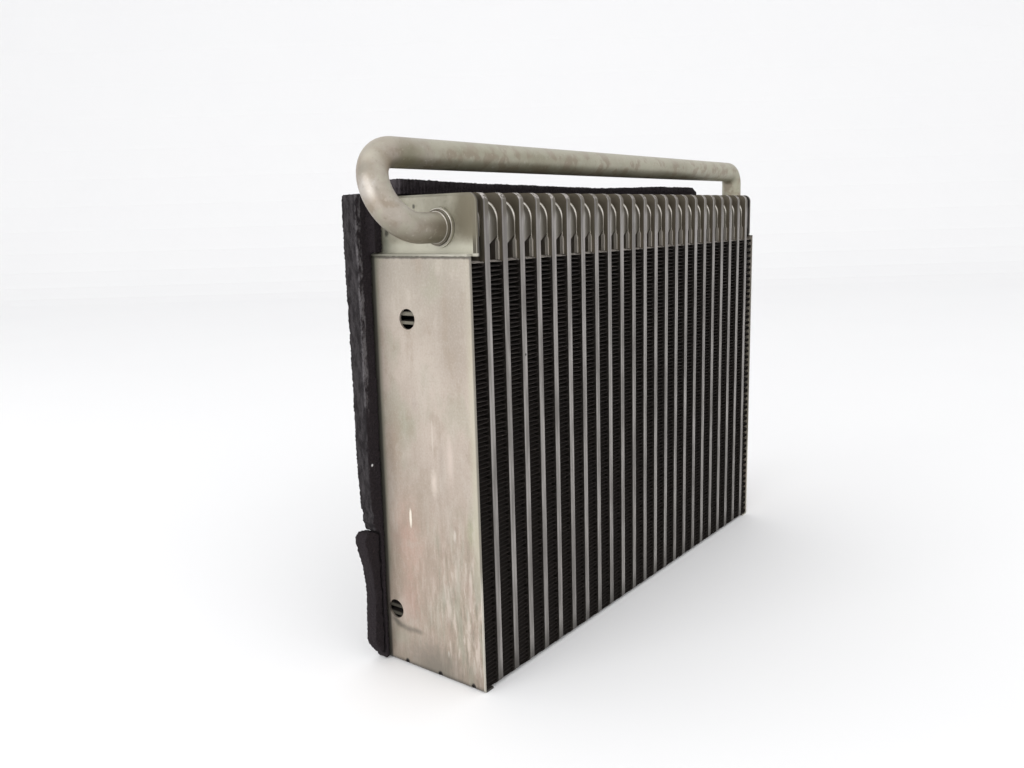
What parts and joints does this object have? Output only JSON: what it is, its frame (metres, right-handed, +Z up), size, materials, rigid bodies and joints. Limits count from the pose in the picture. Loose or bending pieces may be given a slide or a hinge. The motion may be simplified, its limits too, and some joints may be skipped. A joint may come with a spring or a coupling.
{
  "type": "evaporator coil",
  "caption": "Laminated plate and fin refrigerant evaporator core with a crossover pipe over the top, a port block and torn foam seal tape.",
  "frame": {"origin": "under the middle of the whole part, on the surface that it stands on", "axes": "+Z up; +X along the stack of tubes, towards the port block; +Y from the face with the drawn cups in view to the face with the foam tape"},
  "size_m": [0.3672, 0.065, 0.2392],
  "materials": {
    "tube_plate": "weathered satin",
    "fin": "dark soiled",
    "side_plate": "stained satin",
    "tank_plate": "stained satin",
    "pipe": "weathered satin",
    "block": "machined, dulled",
    "foam": "matt open-cell foam"
  },
  "bodies": {
    "root": {"tube_01": "tube_plate", "tube_02": "tube_plate", "tube_03": "tube_plate", "tube_04": "tube_plate", "tube_05": "tube_plate", "tube_06": "tube_plate", "tube_07": "tube_plate", "tube_08": "tube_plate", "tube_09": "tube_plate", "tube_10": "tube_plate", "tube_11": "tube_plate", "tube_12": "tube_plate", "tube_13": "tube_plate", "tube_14": "tube_plate", "tube_15": "tube_plate", "tube_16": "tube_plate", "tube_17": "tube_plate", "tube_18": "tube_plate", "tube_19": "tube_plate", "tube_20": "tube_plate", "tube_21": "tube_plate", "tube_22": "tube_plate", "tube_23": "tube_plate", "fin_01": "fin", "fin_02": "fin", "fin_03": "fin", "fin_04": "fin", "fin_05": "fin", "fin_06": "fin", "fin_07": "fin", "fin_08": "fin", "fin_09": "fin", "fin_10": "fin", "fin_11": "fin", "fin_12": "fin", "fin_13": "fin", "fin_14": "fin", "fin_15": "fin", "fin_16": "fin", "fin_17": "fin", "fin_18": "fin", "fin_19": "fin", "fin_20": "fin", "fin_21": "fin", "fin_22": "fin", "fin_23": "fin", "fin_24": "fin", "side_plate_left": "side_plate", "side_plate_right": "side_plate", "end_tank_plate_left": "tank_plate", "end_tank_plate_right": "tank_plate", "crossover_pipe": "pipe", "port_stub": "pipe", "port_block": "block", "foam_side_left": "foam", "foam_side_left_torn": "foam", "foam_side_right": "foam", "foam_top": "foam"}
  },
  "joints": []
}
